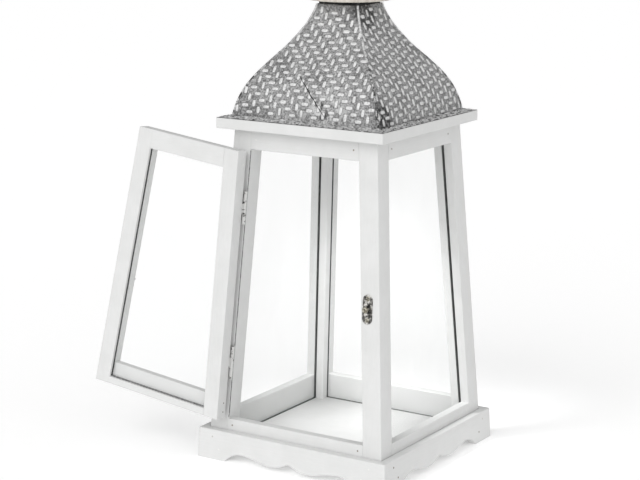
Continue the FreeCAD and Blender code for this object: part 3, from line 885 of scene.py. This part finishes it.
def emboss_mark(vertices, faces, indexes, x, s, length, width, upright, lift_scale, number):
    """One raised mark pressed into the sheet: a rounded pillow in a dark hollow."""
    around = 14
    squareness = 0.6
    # growth of the outline in millimetres and lift of each level
    levels = [(0.75, -0.12), (0.0, 0.1), (-0.22, 0.36), (-0.55, 0.52), (-0.85, 0.56)]
    base = len(vertices)
    shift = dent(roof.place(x, s, 0) + Vector((number, 0, 0)))
    for grow, lift in levels:
        for k in range(around):
            angle = 2 * math.pi * k / around
            half_length = length / 2 + grow * MM
            half_width = max(width / 2 + grow * MM, 0.12 * MM)
            along = half_length * math.copysign(abs(math.cos(angle)) ** squareness,
                                                math.cos(angle))
            across = half_width * math.copysign(abs(math.sin(angle)) ** squareness,
                                                math.sin(angle))
            dx, ds = (across, along) if upright else (along, across)
            vertices.append(roof.place(x + dx, s + ds, lift * MM * lift_scale + shift))
    for r in range(len(levels) - 1):
        for k in range(around):
            n = (k + 1) % around
            faces.append((base + r * around + k, base + r * around + n,
                          base + (r + 1) * around + n, base + (r + 1) * around + k))
            indexes.append(1 if r == 0 else 0)
    top = base + (len(levels) - 1) * around
    faces.append(tuple(top + k for k in range(around)))
    faces.append(tuple(base + k for k in reversed(range(around))))
    indexes.extend((0, 1))


# where the pattern starts on each sheet, in millimetres across and up
emboss_shift = {"front": (-6.6, -0.2), "right": (-1.0, -2.6), "back": (3.0, 1.0),
                "left": (7.5, -1.5)}


def make_emboss():
    """Rows of level and upright marks stepping up the sheet, on all four faces."""
    row = 5.4 * MM
    pitch = 4 * row
    lowest, highest = 2.6 * MM, roof.length - 3 * MM
    for number, (name, angle) in enumerate(SIDES):
        pick = random.Random(7 + number)
        shift_x, shift_s = emboss_shift[name]
        vertices = []
        faces = []
        indexes = []
        for k in range(-1, int(roof.length / row) + 2):
            for i in range(-14, 15):
                start = i * pitch - k * row + shift_x * MM
                for x, s, upright in ((start, k * row, False),
                                      (start + 1.6 * row, (k + 0.42) * row, True)):
                    s += shift_s * MM
                    room = 1.4 * MM if upright else 2.6 * MM
                    if s < lowest or s > highest or abs(x) > roof.at(s)[0] - room:
                        continue
                    size = pick.uniform(0.92, 1.06)
                    emboss_mark(vertices, faces, indexes, x + pick.uniform(-0.15, 0.15) * MM,
                                s + pick.uniform(-0.15, 0.15) * MM, 6.2 * MM * size,
                                2.85 * MM * pick.uniform(0.9, 1.1), upright,
                                pick.uniform(0.75, 1.1), number)
        piece = new_object("roof_emboss_" + name, [about_z(angle) @ v for v in vertices], faces,
                           [rubbed, patina_and_shade], indexes, 70)
        standing(piece, BODY, "antiqued_zinc")


def tube_ring(centre, across, outward, radius, around, flatness=1.0):
    """Ring of a thin bead lying on the sheet."""
    return [centre + outward * radius * math.sin(t) * flatness + across * radius * math.cos(t)
            for t in (2 * math.pi * k / around for k in range(around))]


def make_seams():
    """Soldered ridge along each hip."""
    steps = 110
    side = Vector((1, -1, 0)).normalized()
    for number, (name, angle) in enumerate(CORNERS):
        rings = []
        for j in range(steps + 1):
            s = roof.length * j / steps
            h, z, normal = roof.at(s)
            centre = Vector((-h, -h, z))
            outward = Vector((normal.x, normal.x, normal.y)).normalized()
            wobble = noise.noise(Vector((number * 3.1, 0, s * 160)))
            radius = (0.95 + 0.3 * wobble) * MM
            centre += side * 0.35 * MM * noise.noise(Vector((5, number, s * 90)))
            centre -= outward * 0.35 * MM
            rings.append(tube_ring(centre, side, outward, radius, 10, 0.9))
        piece = loft("hip_ridge_" + name, rings, [seam_zinc], None, angle)
        standing(piece, BODY, "antiqued_zinc", "hip_seam_" + name)


def make_crease():
    """Small diagonal crease pressed into the front sheet, drawn as a thin black bead of painted
    shade along the fold.
    """
    steps = 40
    rings = []
    for j in range(steps + 1):
        share = j / steps
        x = (-13.5 + 34 * share + 0.9 * noise.noise(Vector((share * 9, 3, 1)))) * MM
        s = (40.5 - 34.5 * share) * MM
        radius = (0.3 + 0.35 * math.sin(math.pi * min(1.0, share + 0.04))) * MM
        outward = Vector((0, *roof.at(s)[2]))
        rings.append(tube_ring(roof.place(x, s, 0.3 * MM), Vector((1, 0, 0)), outward, radius, 6))
    piece = loft("roof_crease", rings, [painted_shade_black])
    standing(piece, BODY, "antiqued_zinc")


def make_flange():
    """Crinkled sheet lying on the board around the roof's foot."""
    inner = roof_base - 0.4 * MM
    outer = flange_high.x - 0.1 * MM
    level = flange_low.z
    across = 9
    along = 200
    for name, angle in SIDES:
        top = []
        low = []
        creased = []
        for i in range(along + 1):
            share = 2 * i / along - 1
            for j in range(across + 1):
                reach = inner + (outer - inner) * j / across
                x = share * reach
                ridges = noise.noise(Vector((x * 230, reach * 620, angle)))
                # faces in the crinkles' folds get painted shade
                creased.append(ridges < -0.17)
                waves = noise.noise(Vector((x * 90, reach * 60, angle)))
                rise = 1.3 * (1 - j / across) + 0.5
                lift = max(0.15, rise * (0.8 + 0.9 * ridges + 0.4 * waves)) * MM
                ragged = 0.4 * MM * noise.noise(Vector((x * 200, 7, angle))) if j == across else 0
                y = reach - 0.3 * MM + ragged if abs(share) < 1 else reach
                top.append(Vector((x, -y, level + lift)))
                low.append(Vector((x, -y, level + 0.02 * MM)))
        count = len(top)
        width = across + 1
        faces = grid_faces(along, across)
        marks = [int(creased[face[0]]) for face in faces]
        faces += [(count + a, count + d, count + c, count + b) for a, b, c, d in faces]
        marks += [0] * along * across
        starts = range(0, count, width)
        # side walls; the outer edge's wall gets painted shade
        for line, mark in ((list(starts), 0), ([a + across for a in starts], 1),
                           (list(range(width)), 0), (list(range(along * width, count)), 0)):
            for a, b in zip(line, line[1:]):
                faces.append((a, b, count + b, count + a))
                marks.append(mark)
        piece = new_object("roof_foot_" + name, [about_z(angle) @ v for v in top + low], faces,
                           [foot_zinc, painted_shade_black], marks)
        fix_normals(piece)
        standing(piece, BODY, "antiqued_zinc", *(["roof_flange"] if name == "front" else []))


# ------------------------------------------------------- cap
def lathe(name, outline, material, wobble, segments=96):
    """Slightly uneven solid of revolution about Z from (radius, height) points."""
    rings = []
    for radius, z in outline:
        ring = []
        for k in range(segments):
            angle = 2 * math.pi * k / segments
            direction = Vector((math.cos(angle), math.sin(angle), 0))
            uneven = wobble * noise.noise(direction * 3 + Vector((0, 0, z * 60)))
            ring.append(direction * (radius + uneven) + Vector((0, 0, z)))
        rings.append(ring)
    return loft(name, rings, [material])


def make_cap():
    """Whitewashed turned cap: beaded rim and shallow cone."""
    radius = cap_high.x - proud
    low, high = cap_low.z, cap_high.z
    flat = 9 * MM
    # inset and height in millimetres round the beaded rim
    bead = [(1.2, 0), (0.4, 0.35), (0, 1.1), (0, 6.4), (0.5, 6.9), (0.5, 7.4), (0, 7.9),
            (0, 8.8), (0.4, 9.6), (1.5, 10.3)]
    outline = [(radius - inset * MM, low + lift * MM) for inset, lift in bead]
    shoulder, foot = outline[-1]
    for step in range(1, 9):
        t = step / 8
        outline.append((shoulder + (flat - shoulder) * t, foot + (high - foot) * t))
    outline.append((flat * 0.5, high))
    piece = lathe("turned_cap", outline, cream, 0.12 * MM)
    standing(piece, BODY, "cap_paint", "roof_cap")


# ------------------------------------------------------- catch and hook hardware
def front_frame(centre_x, z):
    """Matrix on the front plane: X right, Y up the face, Z straight out."""
    up = Vector((0, taper, 1)).normalized()
    out = Vector((0, -1, taper)).normalized()
    origin = Vector((centre_x, -half(z) - proud, z))
    matrix = Matrix.Identity(4)
    for column, axis in enumerate((Vector((1, 0, 0)), up, out)):
        for row in range(3):
            matrix[row][column] = axis[row]
    return Matrix.Translation(origin) @ matrix


def obround_ring(width, length, z, steps=12):
    """Level ring with round ends."""
    straight = (length - width) / 2
    ring = []
    for centre, start in ((straight, 0), (-straight, math.pi)):
        for step in range(steps + 1):
            angle = start + math.pi * step / steps
            ring.append(Vector((width / 2 * math.cos(angle),
                                centre + width / 2 * math.sin(angle), z)))
    return ring


def plate(name, matrix):
    """Dished plate with a raised border."""
    width, length, thick = 9.4 * MM, 25.0 * MM, 0.9 * MM
    steps = [(0, 0), (0, 0.55), (0.25, 0.85), (0.7, 0.9), (1.1, 0.75), (1.5, 0.5)]
    rings = [obround_ring(width - 2 * inset * MM, length - 2 * inset * MM, lift * MM)
             for inset, lift in steps]
    return loft(name, rings, [silver], None, 0, matrix)


def slotted_screw(name, matrix, y, turn):
    """Round screw head with a driver slot."""
    radius = 2.0 * MM
    height = 0.8 * MM
    base = 0.5 * MM
    slot = 0.28 * MM
    vertices = []
    count = 17
    for i in range(count):
        for j in range(count):
            a = -1 + 2 * i / (count - 1)
            b = -1 + 2 * j / (count - 1)
            x = a * math.sqrt(1 - b * b / 2) * radius
            v = b * math.sqrt(1 - a * a / 2) * radius
            reach = min(1, math.hypot(x, v) / radius)
            z = base + height * 0.5 * math.sqrt(max(0, 1 - reach ** 2))
            if abs(v) < slot:
                z = base * 0.9
            vertices.append(Vector((x, v, z)))
    faces = grid_faces(count - 1, count - 1)
    rim = ([i * count for i in range(count)] + [(count - 1) * count + j for j in range(1, count)]
           + [i * count + count - 1 for i in reversed(range(count - 1))]
           + [j for j in reversed(range(1, count - 1))])
    start = len(vertices)
    vertices += [Vector((vertices[k].x, vertices[k].y, 0)) for k in rim]
    for n, k in enumerate(rim):
        m = (n + 1) % len(rim)
        faces.append((k, rim[m], start + m, start + n))
    faces.append(tuple(start + n for n in range(len(rim))))
    move = matrix @ Matrix.Translation(Vector((0, y, 0))) @ Matrix.Rotation(turn, 4, "Z")
    piece = new_object(name, [move @ v for v in vertices], faces, [brass], None, 40)
    fix_normals(piece)
    return piece


def make_hardware():
    """Plates and screws of the catch (post) and of the hook (door)."""
    screw_offset = 9.0 * MM
    hook_inset = 7.2 * MM
    stud_low, stud_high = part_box("catch_stud")
    catch = front_frame((stud_low.x + stud_high.x) / 2, catch_height)
    standing(plate("catch_back_plate", catch), BODY, "dark_iron", "catch_plate")
    hook_x = door_edge(catch_height, 1) + proud - hook_inset
    hook = door_swing @ front_frame(hook_x, catch_height)
    standing(plate("hook_back_plate", hook), DOOR, "dark_iron", "hook_plate")
    for label, matrix, body, node in (("catch", catch, BODY, "catch_screws"),
                                      ("hook", hook, DOOR, "hook_screws")):
        upper = slotted_screw(label + "_screw_upper", matrix, screw_offset, turn=0.5)
        lower = slotted_screw(label + "_screw_lower", matrix, -screw_offset, turn=2.1)
        standing(upper, body, "worn_brass", node)
        standing(lower, body, "worn_brass")


def dress_cad_nodes():
    """Materials for the pieces whose CAD shape is shown."""
    looks = {"hinge_post_leaf": chipped, "hinge_door_leaf": chipped, "hinge_pin": iron,
             "hinge_post_screws": chipped, "hinge_door_screws": chipped, "catch_stud": brass,
             "hook_rivet": brass, "hook_lever": iron, "vent_collar": collar_patina_and_shade,
             "cap_eye": iron, "carry_ring": iron, "skirt_brads": brads, "rail_brads": brads,
             "door_brads": brads, "roof_board": paints["x"]}
    for node, thing in frame["nodes"].items():
        for start, material in looks.items():
            if node.startswith(start):
                thing.data.materials.clear()
                thing.data.materials.append(material)
    board = frame["nodes"]["roof_board"]
    join = board.modifiers.new("join", "WELD")
    join.merge_threshold = 1e-5
    soften(board, 0.6 * MM, 50)


# ------------------------------------------------------- stage
def make_stage():
    """Pale floor, soft lights and the camera."""
    size = 12
    floor = new_object("studio_floor", [(-size, -size, 0), (size, -size, 0), (size, size, 0),
                                        (-size, size, 0)], [(0, 1, 2, 3)], [studio_material()])
    bpy.context.scene.view_settings.view_transform = "Standard"
    make_world()
    soft_sun("key", azimuth=-6, elevation=34, spread=50, power=1.22)
    inside_fill(size=0.04, spread=66, power=0.12)
    make_camera()


def make_world():
    """White surroundings, brightest to the right and in front of the lantern."""
    world = bpy.data.worlds.new("studio")
    bpy.context.scene.world = world
    world.use_nodes = True
    nodes = world.node_tree.nodes
    links = world.node_tree.links
    place = nodes.new("ShaderNodeTexCoord")
    facing = nodes.new("ShaderNodeVectorMath")
    facing.operation = "DOT_PRODUCT"
    facing.inputs[1].default_value = Vector((0.8, -0.5, 0.3)).normalized()
    glow = nodes.new("ShaderNodeMapRange")
    glow.inputs["From Min"].default_value = 0.0
    glow.inputs["From Max"].default_value = 1.0
    glow.inputs["To Min"].default_value = 0.42
    glow.inputs["To Max"].default_value = 1.04
    links.new(place.outputs["Generated"], facing.inputs[0])
    links.new(facing.outputs["Value"], glow.inputs["Value"])
    links.new(glow.outputs["Result"], nodes["Background"].inputs["Strength"])
    nodes["Background"].inputs["Color"].default_value = (1, 1, 1, 1)


def studio_material():
    """Plain pale floor with a slight glow, for a white background."""
    finish = Finish("studio_floor")
    finish.surface((0.95, 0.95, 0.95), 0.9)
    finish.feed((1, 1, 1), finish.shader.inputs["Emission Color"])
    finish.feed(0.22, finish.shader.inputs["Emission Strength"])
    return finish.material


def soft_sun(name, azimuth, elevation, spread, power):
    """Wide soft light from a direction, in degrees right of the front and up."""
    data = bpy.data.lights.new(name, "SUN")
    data.angle = math.radians(spread)
    data.energy = power
    lamp = bpy.data.objects.new(name, data)
    bpy.context.scene.collection.objects.link(lamp)
    tilt = Matrix.Rotation(math.radians(90 - elevation), 4, "X")
    lamp.rotation_euler = (about_z(azimuth) @ tilt).to_euler()


def inside_fill(size, spread, power):
    """Soft fill under the roof, so the inside is as light as the outside."""
    data = bpy.data.lights.new("inside_fill", "AREA")
    data.size = size
    data.spread = math.radians(spread)
    data.energy = power
    lamp = bpy.data.objects.new("inside_fill", data)
    bpy.context.scene.collection.objects.link(lamp)
    place = Vector((0, -18 * MM, frame_top - 8 * MM))
    lamp.location = place
    aim = Vector((0, 62 * MM, 30 * MM)) - place
    lamp.rotation_euler = aim.to_track_quat("-Z", "Y").to_euler()


def make_camera():
    """Camera at three quarters from slightly above, a long lens."""
    azimuth, elevation, roll = math.radians(32.37), math.radians(12.19), math.radians(0.21)
    aim = Vector((-0.0208, -0.0132, 0.1894))
    distance = 1.6145
    data = bpy.data.cameras.new("camera")
    data.sensor_width = 36
    data.lens = 103.28
    camera = bpy.data.objects.new("camera", data)
    bpy.context.scene.collection.objects.link(camera)
    outward = Vector((math.sin(azimuth) * math.cos(elevation),
                      -math.cos(azimuth) * math.cos(elevation), math.sin(elevation)))
    camera.location = aim + outward * distance
    camera.rotation_euler = ((-outward).to_track_quat("-Z", "Y").to_matrix().to_4x4()
                             @ Matrix.Rotation(roll, 4, "Z")).to_euler()
    bpy.context.scene.camera = camera


make_stage()
make_posts()
make_rails()
make_panes()
make_floor()
make_skirt()
make_door()
make_roof_panels()
make_emboss()
make_seams()
make_crease()
make_hinge_gap_shade()
make_flange()
make_cap()
make_hardware()
dress_cad_nodes()
